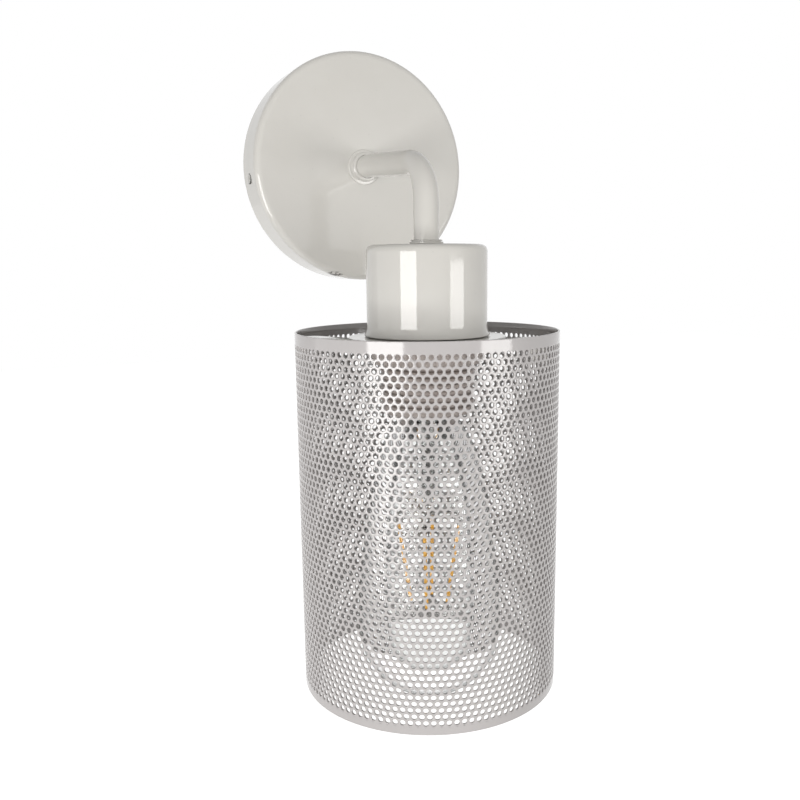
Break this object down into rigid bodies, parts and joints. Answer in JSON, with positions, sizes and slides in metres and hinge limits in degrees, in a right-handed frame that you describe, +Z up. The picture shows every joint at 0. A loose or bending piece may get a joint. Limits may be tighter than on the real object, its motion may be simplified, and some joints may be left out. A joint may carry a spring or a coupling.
{
  "type": "cage wall light",
  "caption": "White wall light with a round canopy, bent tube arm, drawn cup and perforated cylinder shade around a clear filament bulb.",
  "frame": {"origin": "on the arm's axis at the wall plane, the middle of the canopy's open back", "axes": "+Z up, +Y into the wall, so the arm reaches into the room along -Y; +X to the right for someone who faces the wall"},
  "size_m": [0.11, 0.141, 0.2859],
  "materials": {
    "white_paint": "gloss powder coat",
    "painted_screw": "gloss",
    "shade_paint": "satin powder coat on perforated sheet",
    "zinc_steel": "zinc plated",
    "brass": "turned",
    "nickel": "bright",
    "holder_plastic": "moulded",
    "block_plastic": "translucent moulded",
    "black_insulator": "glazed",
    "bulb_glass": "clear blown glass",
    "stem_glass": "pressed glass",
    "filament": "phosphor coated stick",
    "support_wire": "drawn wire",
    "brown_lead": "insulation",
    "blue_lead": "insulation",
    "earth_lead": "insulation"
  },
  "bodies": {
    "fixture": {"canopy": "white_paint", "wall_bracket": "zinc_steel", "canopy_screws": "painted_screw", "earth_stud": "zinc_steel", "earth_tag": "brass", "earth_nut": "brass", "terminal_block": "block_plastic", "terminal_block_ways": "brass", "terminal_block_screws": "zinc_steel", "arm_tube": "white_paint", "arm_collar": "white_paint", "canopy_washer": "zinc_steel", "canopy_nut": "zinc_steel", "cup_top_nut": "white_paint", "cup": "white_paint", "cup_washer": "zinc_steel", "cup_nut": "zinc_steel", "lampholder_cap": "holder_plastic", "lampholder_body": "holder_plastic", "lampholder_insert": "holder_plastic", "terminal_screws": "brass", "screw_shell": "nickel", "centre_contact": "brass", "live_lead": "brown_lead", "neutral_lead": "blue_lead", "earth_lead": "earth_lead"},
    "shade_set": {"spider": "white_paint", "shade": "shade_paint"},
    "clamp_ring": {"shade_ring": "holder_plastic"},
    "bulb": {"bulb_cap": "nickel", "bulb_insulator": "black_insulator", "bulb_contact": "nickel", "bulb_glass": "bulb_glass", "bulb_stem": "stem_glass", "filaments": "filament", "filament_supports": "support_wire"}
  },
  "joints": [
    {"name": "shade_drop", "type": "slide", "parent": "fixture", "child": "shade_set", "axis": [0, 0, -1], "range_m": [0, 0.01875]},
    {"name": "ring_turn", "type": "hinge", "parent": "shade_set", "child": "clamp_ring", "pos_m": [0, -0.086, -0.081], "axis": [0, 0, -1], "range_deg": [0, 2701]},
    {"name": "bulb_out", "type": "slide", "parent": "fixture", "child": "bulb", "axis": [0, 0, -1], "range_m": [0, 0.16]}
  ],
  "couplings": [
    {"joint": "ring_turn", "follows": "shade_drop", "rad_per_m": 2513.3}
  ]
}
